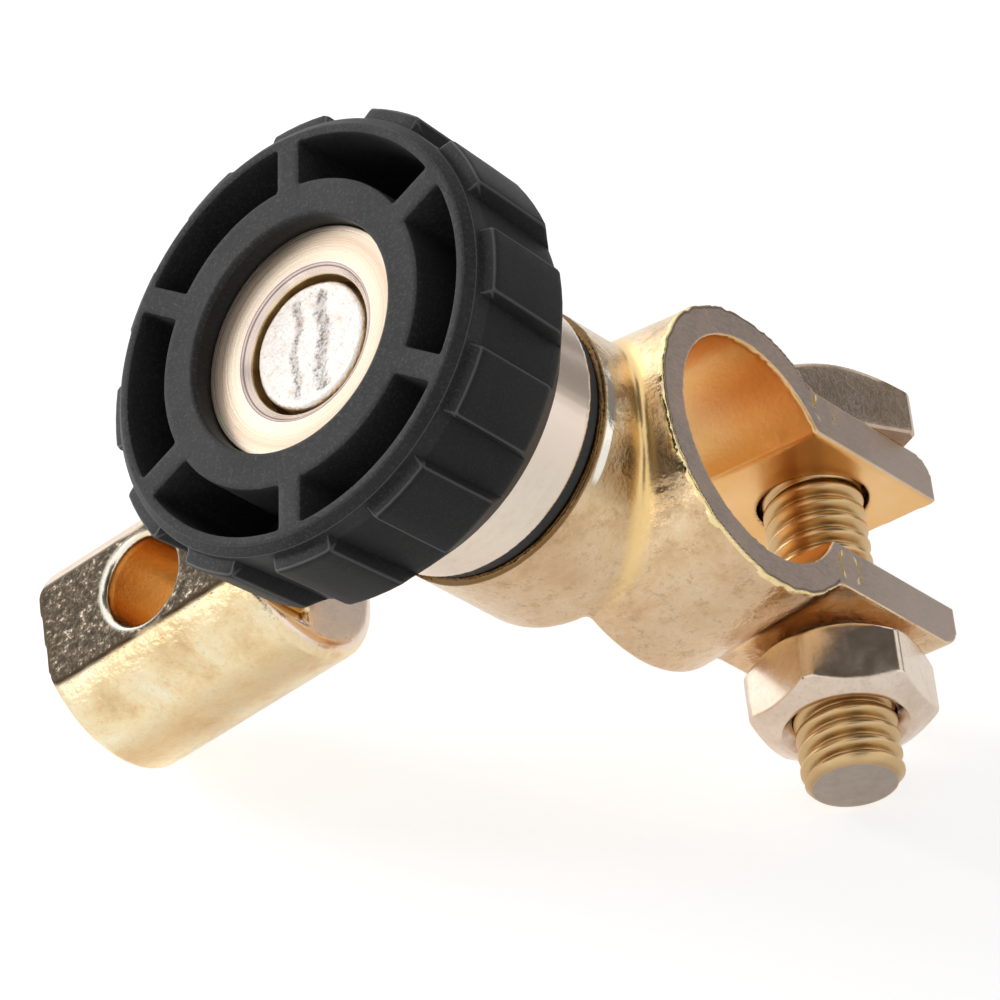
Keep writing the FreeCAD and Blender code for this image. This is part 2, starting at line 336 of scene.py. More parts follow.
attribute(casting, "burr", at_rim)
# Painted highlight: the casting's hollows, such as where the boss meets the barrel, turn a bright
# yellow.
hollow_shading = edge_strength(casting, casting_cell, hollow_rounds)
attribute(casting, "hollow_shading", fade(-hollow_shading, 0, hollow_full))
# Painted shadow: the boss is dark brown for its first half millimetre behind its front, where it
# meets the insulating bush.
behind_front = casting_x - boss_front
attribute(casting, "gap_shadow", fade(behind_front, 0.6, 0.35))
around_stud = np.arctan2(casting_z - stud_axis_height, casting_y)
# Painted highlight: a near-white strip along the boss's front edge, only on the side that faces
# the light.
painted_highlight = fade(np.abs(behind_front - highlight_middle), 0.5, 0.3)
painted_highlight *= fade(np.cos(around_stud - highlight_angle), 0.87, 0.95)
attribute(casting, "front_edge", painted_highlight)
# Painted shade: the casting's faces that turn towards +Y, downwards from the camera, are darker.
attribute(casting, "down_facing_shade", fade(casting_normals[:, 1], 0.55, 1.0))
# Painted reflection: a dark brown patch low on the barrel, where it mirrors dark surroundings.
along_rim = (around - dark_reflection_angle) * rim_line_radius
from_dark_reflection = np.hypot(along_rim / dark_reflection_reach[0], (casting_z - dark_reflection_height) / dark_reflection_reach[1])
attribute(casting, "dark_reflection", np.exp(-from_dark_reflection ** 2) * (from_bore > 11))
at_line = fade(np.abs(from_bore - rim_line_radius), rim_line_half, 0)
attribute(casting, "rim_line", at_line * (casting_x < 8) * (casting_z < 0.2))
ground_share = fade(-casting_normals[:, 2], 0.8, 0.95)
ground_share *= fade(casting_z, ground_depth, ground_depth - 0.15)
attribute(casting, "ground", ground_share)
in_bore = fade(from_bore, bore_reach, bore_reach - 0.2)
in_gap = fade(np.abs(casting_y), gap_reach, gap_reach - 0.2) * (casting_x > gap_start)
attribute(casting, "inside", np.maximum(in_bore, in_gap) * (1 - ground_share))

casting_finish, shader, add, fill, place, parts = cast_gold(
    "gold_plated_casting", ((0.56, 0.36, 0.17), (0.86, 0.62, 0.36), (0.98, 0.82, 0.57)),
    170, 0.14, 0.28,
)
inside = own_value(add, "inside")
hollow_shading = own_value(add, "hollow_shading")
front_edge = own_value(add, "front_edge")
ground = own_value(add, "ground")
burr = spread(add, own_value(add, "burr"), 0.25, 0.7)
# The bore and the gap keep their gold plating. The deeper orange on them is painted light, bounced
# from wall to wall.
bounce_patches = spots(add, place, 160, 3.0)
bounce_orange = ramp(add, bounce_patches, [(0.35, (0.84, 0.5, 0.19)), (0.65, (0.9, 0.58, 0.27))])
skin = layered(add, parts["colour"], [
    (spread(add, own_value(add, "down_facing_shade"), 0.2, 1.0, 0.0, 0.5), (0.62, 0.42, 0.27)),
    (spread(add, own_value(add, "dark_reflection"), 0.25, 0.9, 0.0, 0.8), (0.33, 0.21, 0.1)),
    (grime(add, place, 0.5, 0.66, 0.6), (0.42, 0.26, 0.13)),
    (inside, bounce_orange),
    (burr, (1.0, 0.8, 0.4)),
    (spread(add, hollow_shading, 0.1, 0.9, 0.0, 0.85), (1.0, 0.7, 0.3)),
    (spread(add, own_value(add, "gap_shadow"), 0.3, 0.9, 0.0, 0.93), (0.17, 0.09, 0.03)),
    (spread(add, front_edge, 0.3, 0.7), (1.0, 0.95, 0.85)),
])
marks = []
for x, y in punch_marks:
    from_mark = way_from(add, place, (x, y, 0), (1, 1, 0))
    radius = way_length(add, from_mark)
    ring = worked(add, "COMPARE", radius, punch_radius / 1000, punch_line / 1000)
    across_mark = worked(add, "ABSOLUTE", add("SeparateXYZ", {0: from_mark}).outputs[0])
    marks.append(worked(add, "MULTIPLY", ring, spread(add, across_mark, 0.0006, 0.001)))
mark = worked(add, "MAXIMUM", *marks)
broken_mark = worked(add, "MULTIPLY", mark, spread(add, spots(add, place, 900, 2.0), 0.4, 0.5))
scratches = spots(add, stretched(add, place, (1100, 3600, 300), (0, 0, 0.9)), 1.0, 6.0, 0.75)
scratched = ramp(add, scratches, [
    (0.3, (0.32, 0.255, 0.215)),
    (0.5, (0.42, 0.34, 0.29)),
    (0.7, (0.5, 0.41, 0.36)),
])
along_ears = add("SeparateXYZ", {0: place}).outputs[0]
bare = layered(add, scratched, [
    (spread(add, spots(add, place, 3000, 4.0, 0.7), 0.5, 0.7, 0.0, 0.5), (0.27, 0.21, 0.19)),
    (spread(add, spots(add, place, 240, 4.0), 0.4, 0.65, 0.0, 0.4), (0.57, 0.42, 0.33)),
    (spread(add, along_ears, 0.004, 0.02, 0.0, 0.5), (0.66, 0.55, 0.48)),
    (broken_mark, (0.95, 0.68, 0.26)),
    (spread(add, own_value(add, "rim_line"), 0.2, 0.8, 0.0, 0.8), (0.12, 0.08, 0.05)),
])
rough_layers = [(inside, 0.3), (burr, 0.14), (hollow_shading, 0.3), (front_edge, 0.1)]
rough = layered(add, parts["rough"], rough_layers, mixed_value)
even = worked(add, "MAXIMUM", worked(add, "MAXIMUM", inside, hollow_shading), front_edge)
skin_normal = mixed_normal(add, even, parts["bump"], parts["calm"])
bare_normal = relief(add, mark, 0.0001, 1.0, relief(add, scratches, 0.00004, 0.3), True)
fill(shader, {
    "Base Color": mixed(add, ground, skin, bare),
    "Roughness": mixed_value(add, ground, rough, mixed_value(add, broken_mark, 0.46, 0.2)),
    "Normal": mixed_normal(add, ground, skin_normal, bare_normal),
})
casting.data.materials.clear()
casting.data.materials.append(casting_finish)
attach(casting, "clamp")
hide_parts("clamp_casting")


# Stud. A plated stud of 5/16 inch, pressed into the boss by its plain root. Its outer end
# was hammered over inside the knob's bush, which left the end face dented and its rim
# spread.

thread_pitch = 1.411
thread_depth = 0.68
stud_columns = 120
root_end = -10.2
root_radius = 4.98
stud_face = -16.4
stud_radius = 3.99
shank_rings = 190
flare_start = -34.8
flare_end = -35.5
stud_end = -36.4
head_radius = 5.0
end_rings = 34
dent_count = 160
rough_dent_count = 900
dent_depth = 0.035
dent_radius = 0.3
rough_bands = ((1.3, 0.5), (-1.2, 0.85))
rough_rim_angle = math.radians(60)


def grid_piece(name, points, closed_profile, sharp=50.0):
    """Closed piece from a grid of points, in millimetres.

    Each row of the grid is a ring. The last row joins the first one where the profile is
    closed, and otherwise one flat face closes each end. The faces are turned round where
    the volume inside them comes out negative, so that they look outwards.
    """
    rows, columns = points.shape[:2]
    index = np.arange(rows * columns).reshape(rows, columns)
    lower = index if closed_profile else index[:-1]
    upper = np.roll(index, -1, axis=0) if closed_profile else index[1:]
    corners = [lower, np.roll(lower, -1, axis=1), np.roll(upper, -1, axis=1), upper]
    quads = np.stack(corners, axis=-1).reshape(-1, 4)
    places = points.reshape(-1, 3)
    faces = quads.tolist()
    if not closed_profile:
        faces += [index[0][::-1].tolist(), index[-1].tolist()]
    a, b, c, d = (places[quads[:, i]] for i in range(4))
    volume = np.sum(np.cross(a, b) * c) + np.sum(np.cross(a, c) * d)
    if volume < 0:
        faces = [face[::-1] for face in faces]
    mesh = bpy.data.meshes.new(name)
    mesh.from_pydata((places / 1000).tolist(), [], faces)
    mesh.polygons.foreach_set("use_smooth", np.ones(len(faces), bool))
    mesh.update()
    mesh.set_sharp_from_angle(angle=math.radians(sharp))
    return link(bpy.data.objects.new(name, mesh))


def rounded(corners, steps=5, shading_reach=1.25):
    """Profile with each corner changed for a curve.

    A corner is a place, a radius from the axis and how far the rounding reaches. The curve
    is the quadratic one that leaves the first side, is drawn to the corner and ends on the
    next side. One more point on each side keeps the shading of the flat parts flat.
    """
    profile = np.array([corner[:2] for corner in corners], float)
    reach = np.array([corner[2] for corner in corners], float)
    before = np.roll(profile, 1, axis=0) - profile
    after = np.roll(profile, -1, axis=0) - profile
    before /= np.linalg.norm(before, axis=1)[:, None]
    after /= np.linalg.norm(after, axis=1)[:, None]
    t = np.linspace(0, 1, steps)[:, None]
    made = []
    for point, back, on, length in zip(profile, before, after, reach):
        curve = point + length * ((1 - t) ** 2 * back + t ** 2 * on)
        before_curve = point + shading_reach * length * back
        after_curve = point + shading_reach * length * on
        made.append(np.concatenate([[before_curve], curve, [after_curve]]))
    return np.concatenate(made)


def round_stud(x, radius, angle):
    """Points at places along the stud's axis, at a radius and an angle from +Y to +Z."""
    y = radius * np.cos(angle)
    z = stud_axis_height + radius * np.sin(angle)
    return np.stack(np.broadcast_arrays(x, y, z), axis=-1)


def ring_angles(count):
    """One row of angles that goes once round in even steps."""
    return np.linspace(0, 2 * np.pi, count, endpoint=False)[None, :]


def turned_piece(name, corners, columns=144):
    """Piece turned about the stud's axis from a closed profile of rounded corners."""
    profile = rounded(corners)
    return grid_piece(name, round_stud(profile[:, :1], profile[:, 1:], ring_angles(columns)), True)


def thread(along, angle, crest, depth):
    """Radius of a screw thread: it falls and rises once in each pitch, with flat crests."""
    wave = np.abs(2 * np.mod(along / thread_pitch + angle / (2 * np.pi), 1) - 1)
    return crest - depth * fade(wave, 0.2, 0.9) ** 1.3


def dents(first, second, chosen, count, reach):
    """Depth of many round dents at random places inside a reach, at two coordinates.

    Each dent falls off from its middle as the bell curve does, with its own width and depth.
    """
    middle = chosen.uniform(-reach, reach, (2, count))
    size = chosen.uniform(0.5, 1.4, count) * dent_radius
    depths = chosen.uniform(-0.35, 1.0, count) * dent_depth
    distance = (first[..., None] - middle[0]) ** 2 + (second[..., None] - middle[1]) ** 2
    return np.sum(depths * np.exp(-distance / size ** 2), axis=-1)


chosen = np.random.default_rng(11)
angle = ring_angles(stud_columns)
end_radius = np.linspace(0.12, head_radius - 0.35, end_rings)[:, None]
across = end_radius * np.cos(angle)
upright = end_radius * np.sin(angle)
sunk = dents(across, upright, chosen, dent_count, 4.8)
battered_share = fade(end_radius, 3.9, 4.4) * fade(np.cos(angle - rough_rim_angle), 0.375, 1.0)
for band, width in rough_bands:
    from_band = upright - 0.13 * across - band - 0.25 * np.sin(1.3 * across + band)
    battered_share = np.maximum(battered_share, np.exp(-(from_band / width) ** 2))
battered_share = battered_share * fade(end_radius, 4.6, 4.1)
sunk += battered_share * dents(across, upright, chosen, rough_dent_count, 4.6)
sunk = sunk * fade(end_radius, head_radius - 0.4, head_radius - 0.9)
end_rows = round_stud(stud_end + 0.05 + sunk, end_radius, angle)
rim_profile = np.array([
    (stud_end + 0.06, head_radius - 0.25),
    (stud_end + 0.12, head_radius - 0.12),
    (stud_end + 0.25, head_radius - 0.03),
    (stud_end + 0.4, head_radius),
    (flare_end - 0.1, head_radius),
    (flare_end, head_radius - 0.1),
    (flare_start - 0.05, stud_radius + 0.05),
])
wobble = 1 + 0.006 * np.sin(3 * angle + 1) + 0.004 * np.sin(7 * angle)
rim_radius = np.minimum(rim_profile[:, 1:] * wobble, head_radius + 0.02)
rim_rows = round_stud(rim_profile[:, :1], rim_radius, angle)
shank_x = np.linspace(flare_start + 0.1, stud_face - 0.4, shank_rings)[:, None]
cut = fade(shank_x, stud_face - 1.2, stud_face - 2.0)
cut *= fade(shank_x, flare_start, flare_start + 0.8)
shank_radius = thread(shank_x, -angle, stud_radius, thread_depth * cut)
shank_rows = round_stud(shank_x, shank_radius, angle)
root_profile = np.array([
    (stud_face, stud_radius),
    (stud_face, root_radius - 0.3),
    (stud_face + 0.3, root_radius),
    (root_end - 0.4, root_radius),
    (root_end - 0.02, root_radius - 0.4),
    (root_end - 0.02, 0.3),
])
root_rows = round_stud(root_profile[:, :1], root_profile[:, 1:], angle)
stud_points = np.concatenate([end_rows, rim_rows, shank_rows, root_rows])
stud = grid_piece("threaded_stud", stud_points, False, 60.0)
on_stud = np.zeros(stud_points.shape[:2])
on_stud[:end_rings] = battered_share
attribute(stud, "battered", on_stud.ravel())

stud_finish, shader, add, fill = new_finish("plated_steel_stud")
place = own_place(add)
battered = own_value(add, "battered")
patches = spots(add, place, 900, 5.0, 0.6)
fine = spots(add, place, 3800, 4.0)
torn = spots(add, place, 2600, 8.0, 0.8, 0.3)
plain = ramp(add, patches, [
    (0.28, (0.74, 0.62, 0.54)),
    (0.42, (0.86, 0.8, 0.75)),
    (0.7, (0.93, 0.9, 0.87)),
])
broken = ramp(add, fine, [(0.4, (0.11, 0.075, 0.065)), (0.6, (0.36, 0.28, 0.25))])
torn_share = worked(add, "ADD", torn, spread(add, battered, 0.0, 1.0, -0.11, 0.01))
torn_share = spread(add, torn_share, 0.46, 0.6, 0.0, 0.85)
fill(shader, {
    "Base Color": mixed(add, torn_share, plain, broken),
    "Metallic": 1.0,
    "Roughness": spread(add, patches, 0.3, 0.7, 0.3, 0.42),
    "Normal": relief(add, mixed_value(add, battered, fine, torn), 0.00014, 0.9),
})
stud.data.materials.append(stud_finish)
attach(stud, "clamp")
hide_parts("stud")


# Insulating bush. A black moulded bush of flange and sleeve: the sleeve keeps the lug's eye
# off the stud, and the flange keeps it off the boss. It is pushed on over the stud.

bush_bore = 4.06
sleeve_radius = 5.99
sleeve_end = -24.1
flange_radius = 10.7
flange_near = -16.41
flange_far = -17.49

insulator = turned_piece("black_insulating_bush", [
    (flange_near, bush_bore, 0.1),
    (flange_near, flange_radius, 0.2),
    (flange_far, flange_radius, 0.2),
    (flange_far, sleeve_radius, 0.1),
    (sleeve_end, sleeve_radius, 0.2),
    (sleeve_end, bush_bore, 0.2),
])
insulator_finish, shader, add, fill = new_finish("black_insulator")
grain = spots(add, own_place(add), 2200, 4.0)
fill(shader, {
    "Base Color": ramp(add, grain, [(0.35, 0.012), (0.65, 0.026)]),
    "Roughness": spread(add, grain, 0.35, 0.65, 0.42, 0.6),
    "Normal": relief(add, grain, 0.00004, 0.4),
})
insulator.data.materials.append(insulator_finish)
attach(insulator, "clamp")
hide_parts("insulating_bush")


# Cable lug. One plated casting: a machined eye that the knob presses on, a neck and a round
# bar with one flat and a cross hole for the cable. It turns freely on the insulating bush.

lug_cell = 0.00021
lug_rounds = 4
eye_front = -24.4
eye_rim_radius = 11.1
lug_end_height = 34.0
hole_y, hole_z = (2.234, 41.16)
hole_reach = 3.75
hole_rim_half = 0.42
highlight_way = (0.31, 0.95)
border_rounds = 5
neck_rounds = 8
neck_full = 0.03

lug = cast_copy("cable_lug", lug_cell, lug_rounds)
lug_places, lug_normals, lug_pairs = point_values(lug.data)
lug_x, lug_y, lug_z = lug_places.T
attribute(lug, "edge", edge_strength(lug, lug_cell, 2))
from_axis = np.hypot(lug_y, lug_z - stud_axis_height)
on_eye = fade(from_axis, eye_rim_radius + 0.35, eye_rim_radius + 0.05)
off_eye = 1 - on_eye
attribute(lug, "machined", on_eye)
on_flat = fade(lug_x, eye_front + 0.2, eye_front + 0.08)
on_flat *= fade(-lug_normals[:, 0], 0.8, 0.95) * off_eye
attribute(lug, "flat", on_flat)
soft_flat = on_flat[:, None]
for _ in range(border_rounds):
    soft_flat = neighbour_mean(soft_flat, lug_pairs)
border = np.clip(5.6 * soft_flat * (1 - soft_flat) - 0.3, 0, 1)[:, 0]
from_hole = np.hypot(lug_y - hole_y, lug_z - hole_z)
off_hole = fade(from_hole, hole_reach + 0.6, hole_reach + 0.9)
attribute(lug, "border", border * off_hole * off_eye)
# Painted highlight: a near-white crescent round the mouth of the cable hole, brightest on one
# side.
hole_rim_highlight = fade(np.abs(from_hole - hole_reach), hole_rim_half, 0) * (lug_x < eye_front + 1)
highlight_side = (lug_y - hole_y) * highlight_way[0] + (lug_z - hole_z) * highlight_way[1]
hole_rim_highlight *= np.clip(1.2 + 2 * highlight_side / np.maximum(from_hole, 0.1), 0.3, 2)
attribute(lug, "hole_rim_highlight", np.clip(hole_rim_highlight, 0, 1))
# Painted shade: the hollow of the lug's neck turns dark brown.
at_neck = fade(-edge_strength(lug, lug_cell, neck_rounds), 0, neck_full)
attribute(lug, "hollow_shading", at_neck * (lug_z < lug_end_height + 2) * off_eye)
in_hole = fade(from_hole, hole_reach, hole_reach - 0.2)
attribute(lug, "hole", in_hole)
on_end = fade(-lug_normals[:, 2], 0.65, 0.9) * (lug_z < lug_end_height)
attribute(lug, "end_face", on_end)
attribute(lug, "calm", np.maximum.reduce([in_hole, on_end, np.clip(2 * border, 0, 1)]))
# Painted light and shade by facing: the lug's faces turned away from +Y are pinker, and those
# turned fully towards +Y darker brown.
attribute(lug, "down_facing_shade", np.clip(lug_normals[:, 1], 0, 1) * off_eye)

lug_finish, shader, add, fill, place, parts = cast_gold(
    "gold_plated_lug", ((0.72, 0.49, 0.24), (0.97, 0.78, 0.47), (1.0, 0.94, 0.7)),
    190, 0.17, 0.28,
)
sparks = spots(add, place, 1900, 6.0, 0.8)
sanded = ramp(add, sparks, [
    (0.34, (0.04, 0.029, 0.018)),
    (0.48, (0.085, 0.066, 0.045)),
    (0.57, (0.2, 0.155, 0.11)),
    (0.65, (0.88, 0.78, 0.6)),
])
plain_flat = worked(add, "SUBTRACT", own_value(add, "flat"), parts["edge"], use_clamp=True)
machined = own_value(add, "machined")
hole_rim_highlight = own_value(add, "hole_rim_highlight")
down_facing_shade = own_value(add, "down_facing_shade")
turned = spots(add, stretched(add, place, (9000, 120, 120)), 1.0, 3.0)
silver = ramp(add, turned, [(0.3, (0.85, 0.73, 0.6)), (0.7, (0.89, 0.78, 0.65))])
silver = layered(add, silver, [
    (spread(add, spots(add, place, 900, 5.0, 0.7), 0.45, 0.7, 0.0, 0.25), (0.7, 0.56, 0.44)),
])
rough_layers = [(machined, 0.26), (plain_flat, 0.45), (hole_rim_highlight, 0.2)]
normal = mixed_normal(add, own_value(add, "calm"), parts["bump"], parts["calm"])
normal = mixed_normal(add, machined, normal, relief(add, turned, 0.00003, 0.05))
normal = mixed_normal(add, plain_flat, normal, relief(add, sparks, 0.00009, 0.6))
fill(shader, {
    "Base Color": layered(add, parts["colour"], [
        (spread(add, down_facing_shade, 0.65, 0.15, 0.0, 0.75), (0.86, 0.66, 0.5)),
        (grime(add, place, 0.52, 0.68, 0.4), (0.6, 0.38, 0.17)),
        (spread(add, down_facing_shade, 0.93, 1.0, 0.0, 0.6), (0.66, 0.46, 0.24)),
        (machined, silver),
        (own_value(add, "end_face"), (0.93, 0.78, 0.66)),
        (own_value(add, "hollow_shading"), (0.5, 0.26, 0.06)),
        (own_value(add, "hole"), (0.8, 0.46, 0.14)),
        (plain_flat, sanded),
        (own_value(add, "border"), (0.09, 0.06, 0.035)),
        (hole_rim_highlight, (1.0, 0.95, 0.82)),
    ]),
    "Roughness": layered(add, parts["rough"], rough_layers, mixed_value),
    "Normal": normal,
})
lug.data.materials.clear()
lug.data.materials.append(lug_finish)
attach(lug, "lug")
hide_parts("cable_lug")


# Brass bush of the knob. Turned from bar, tapped 5/16 inch through, with a counterbore and a
# sloping lip for the stud's hammered end. The moulding is formed round it and leaves its
# face bare.

bush_back = -24.42
bush_face = -36.9
bush_radius = 9.08
well_start = -34.9
well_end = -31.0
well_radius = 5.97
lip_outer = 6.12
lip_inner = 5.45
lip_depth = 0.5
tool_lines = (5.96, 6.16)
tool_line_half = 0.05


def ring_noise(add, radius, scale, detail):
    """Noise that changes only with the radius, as the marks of a lathe tool do."""
    values = {"W": radius, "Scale": scale, "Detail": detail}
    return add("TexNoise", values, noise_dimensions="1D").outputs["Fac"]


bush = turned_piece("turned_brass_bush", [
    (bush_back, bush_bore, 0.2),
    (bush_back, bush_radius, 0.2),
    (bush_face, bush_radius, 0.12),
    (bush_face, lip_outer, 0.05),
    (bush_face + 0.08, lip_outer - 0.1, 0.03),
    (bush_face + lip_depth, lip_inner, 0.08),
    (well_start, lip_inner, 0.1),
    (well_start + 0.5, well_radius, 0.1),
    (well_end, well_radius, 0.2),
    (well_end, bush_bore, 0.2),
])
bush_finish, shader, add, fill = new_finish("turned_brass")
place = own_place(add)
radius = way_length(add, way_from(add, place, (0, 0, stud_axis_height), (0, 1, 1)))
rings = ring_noise(add, radius, 7000, 3.0)
face = ramp(add, ring_noise(add, radius, 700, 2.0), [
    (0.3, (0.62, 0.48, 0.36)),
    (0.5, (0.72, 0.59, 0.46)),
    (0.7, (0.84, 0.72, 0.58)),
])
on_lip = spread(add, radius, (lip_outer + 0.03) / 1000, (lip_outer - 0.03) / 1000)
lines = worked(add, "MAXIMUM", *(
    worked(add, "COMPARE", radius, line / 1000, tool_line_half / 1000)
    for line in tool_lines
))
deep = spread(add, radius, (lip_inner + 0.07) / 1000, (lip_inner + 0.01) / 1000)
tarnish = spots(add, place, 500, 3.0)
well = ramp(add, tarnish, [(0.4, (0.75, 0.45, 0.16)), (0.6, (1.0, 0.75, 0.36))])
fill(shader, {
    "Base Color": layered(add, face, [
        (on_lip, (0.86, 0.72, 0.62)),
        (lines, (0.34, 0.25, 0.27)),
        (deep, well),
    ]),
    "Metallic": 1.0,
    "Roughness": spread(add, rings, 0.3, 0.7, 0.24, 0.34),
    "Anisotropic": 0.75,
    "Anisotropic Rotation": 0.25,
    "Tangent": add("Tangent", {}, direction_type="RADIAL", axis="X").outputs[0],
    "Normal": relief(add, rings, 0.00002, 0.3),
})
bush.data.materials.append(bush_finish)
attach(bush, "knob_carrier")
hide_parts("knob_bush")


# Knob. One black moulding on the bush: a hub, six spokes with deep windows between them, a
# rim with a chamfered front and twelve grips, and a cone behind. Its skin is finely matt.

knob_front = -38.7
knob_turn = math.radians(6.1)
hub_bore = 9.15
hub_radius = 12.05
window_radius = 15.55
window_width = 12.35
window_depth = 11.0
window_corner = 0.2
window_share = np.concatenate([
    [0, 0.004, 0.01, 0.018],
    np.linspace(0.05, 0.95, 19),
    [0.982, 0.99, 0.996, 1],
])
edge_round = 0.22
spoke_count = 6
spoke_half = 1.05
spoke_steps = np.array([0, 0.4, 0.79, 0.939, 1])
grip_count = 12
grip_half = 2.65
grip_steps = np.array([0, 0.45, 0.868, 0.962, 1])
grip_drop = np.array([0, 0, 0, 0.1, 0.35])
highlight_line_step = 3
valley_share = np.array([0, 0.04, 0.12, 0.3, 0.5, 0.7, 0.88, 0.96, 1])
back_depth = 14.0


def columns_between(steps, share, repeats):
    """Columns of one repeat, from the middle of one bar to the middle of the next.

    For each column: its share of the way between the bars, its place across the bar before
    and the bar after in half widths, and which step of the bar it is, or -1 between bars.
    """
    n = len(steps)
    bar_after = steps[:0:-1]
    count = len(share)
    way = np.concatenate([np.zeros(n), share, np.ones(n - 1)])
    left = np.concatenate([steps, np.ones(count + n - 1)])
    right = np.concatenate([-np.ones(n + count), -bar_after])
    which = np.concatenate([np.arange(n), -np.ones(count, int), np.arange(n - 1, 0, -1)])
    start = np.repeat(np.arange(repeats), len(way)) * 2 * np.pi / repeats
    return [np.tile(v, repeats) for v in (way, left, right, which)] + [start]


def column_angle(columns, half, repeats, radius):
    """Angle of each column at a radius: bars keep their width, so their sides are parallel."""
    way, left, right, which, start = columns
    step = 2 * np.pi / repeats
    before = np.arcsin(left * half / radius)
    after = step + np.arcsin(right * half / radius)
    return start + (1 - way) * before + way * after


inner_columns = columns_between(spoke_steps, window_share, spoke_count)
outer_columns = columns_between(grip_steps, valley_share, grip_count)
on_spoke = inner_columns[3] >= 0
on_grip = outer_columns[3] >= 0
drop_out = np.where(on_grip, grip_drop[outer_columns[3]], 0)
from_side = np.minimum(inner_columns[0], 1 - inner_columns[0]) * window_width
corner_left = np.clip(window_corner - from_side, 0, window_corner)
corner_rise = window_corner - np.sqrt(window_corner ** 2 - corner_left ** 2)
low = hub_radius + corner_rise
high = window_radius - corner_rise
across_spoke = np.minimum(np.abs(inner_columns[1]), np.abs(inner_columns[2]))
into_window = np.where(on_spoke, (across_spoke - 1) * spoke_half, from_side)
window_middle = (hub_radius + window_radius) / 2
window_half = (window_radius - hub_radius) / 2


def edge_drop(radius):
    """How far the front sinks at a radius: a quarter round along the outline of a window.

    The distance to the outline is that of a box with rounded corners, open along the window.
    """
    over = window_corner - into_window
    beyond = np.abs(radius - window_middle) - window_half + window_corner
    outside = np.hypot(np.maximum(over, 0), np.maximum(beyond, 0))
    away = outside + np.minimum(np.maximum(over, beyond), 0)
    near = np.clip(edge_round - (away - window_corner), 0, edge_round)
    return edge_round - np.sqrt(edge_round ** 2 - near ** 2)


hub_rows = [
    (hub_bore, back_depth - 0.2), (hub_bore, 2.2), (hub_bore, 0.5), (9.17, 0.33),
    (9.25, 0.12), (9.45, 0), (9.6, 0), (11.5, 0),
]
window_wall = [
    (-edge_round, 0), (-0.065, 0.065), (0, edge_round), (0, 0.7),
    (0, window_depth - 0.6), (0.12, window_depth - 0.15), (0.5, window_depth),
]
rim_rows = [
    (16.1, 0), (16.2, 0.01), (16.3, 0.05), (16.38, 0.12), (16.62, 0.34),
    (16.86, 0.58), (16.93, 0.67), (16.96, 0.8), (16.95, 0.98),
]
grip_and_valley_rows = [
    ((16.95, 1.12), (16.94, 1.15)),
    ((17.02, 1.26), (16.92, 1.5)),
    ((17.75, 1.31), (16.89, 2.0)),
    ((18.0, 1.4), (16.87, 2.5)),
    ((18.09, 1.65), (16.84, 3.0)),
    ((18.08, 2.1), (16.79, 4.0)),
    ((17.92, 6.0), (16.65, 6.5)),
    ((17.77, 9.0), (16.5, 9.1)),
    ((17.7, 9.32), (16.44, 10.2)),
    ((17.46, 9.66), (16.38, 10.85)),
    ((16.49, 10.8), (16.15, 11.2)),
    ((15.06, 12.5), (15.06, 12.5)),
    ((13.98, 13.78), (13.98, 13.78)),
]
back_rows = [
    (13.8, back_depth - 0.05), (13.6, back_depth), (13.3, back_depth),
    (9.4, back_depth), (9.2, back_depth - 0.05),
]
window_rows = [(low + step, depth) for step, depth in window_wall]
window_rows += [(high - step, depth) for step, depth in reversed(window_wall)]
rows = [(False, radius, depth) for radius, depth in hub_rows]
for i, (radius, depth) in enumerate(window_rows):
    on_front = i < 3 or i > 10
    share = (i - 2) / 9
    along_spoke = radius if on_front else low * (1 - share) + high * share
    radius = np.where(on_spoke, along_spoke, radius)
    rows.append((False, radius, np.where(on_spoke | on_front, edge_drop(radius), depth)))
rows += [(True, radius, depth) for radius, depth in rim_rows]
side_start = len(rows)
for i, (grip, valley) in enumerate(grip_and_valley_rows):
    raised = 2 <= i <= 9
    radius = np.where(on_grip, grip[0] - drop_out * raised, valley[0])
    depth = np.where(on_grip, grip[1] + drop_out * (0.9 if i < 5 else 0) * raised, valley[1])
    rows.append((True, radius, depth))
rows += [(False, radius, depth) for radius, depth in back_rows]
outward, radius, depth = (
    np.array([np.broadcast_to(row[kind], on_spoke.shape) for row in rows])
    for kind in range(3)
)
inner_angle = column_angle(inner_columns, spoke_half, spoke_count, radius)
outer_angle = column_angle(outer_columns, grip_half, grip_count, radius)
angle = knob_turn + np.where(outward, outer_angle, inner_angle)
knob = grid_piece("black_hand_knob", round_stud(knob_front + depth, radius, angle), True, 40.0)
# Painted highlights: light lines along the rounded edges of the rim and along the edges of the
# grips.
edge_highlight_lines = np.zeros(radius.shape)
edge_highlight_lines[side_start + 1:side_start + 9] = outer_columns[3] == highlight_line_step
edge_highlight_lines[side_start + 3] = on_grip
edge_highlight_lines[side_start - 7] = 0.6
edge_highlight_lines[side_start - 3] = 0.9
attribute(knob, "edge_highlight_lines", edge_highlight_lines.ravel())
shaded = np.zeros(radius.shape)
shaded[:3] = 1.0
shaded[side_start + 3:] = 1.0
attribute(knob, "shaded", shaded.ravel())
merge_points(knob.data, 2e-7)

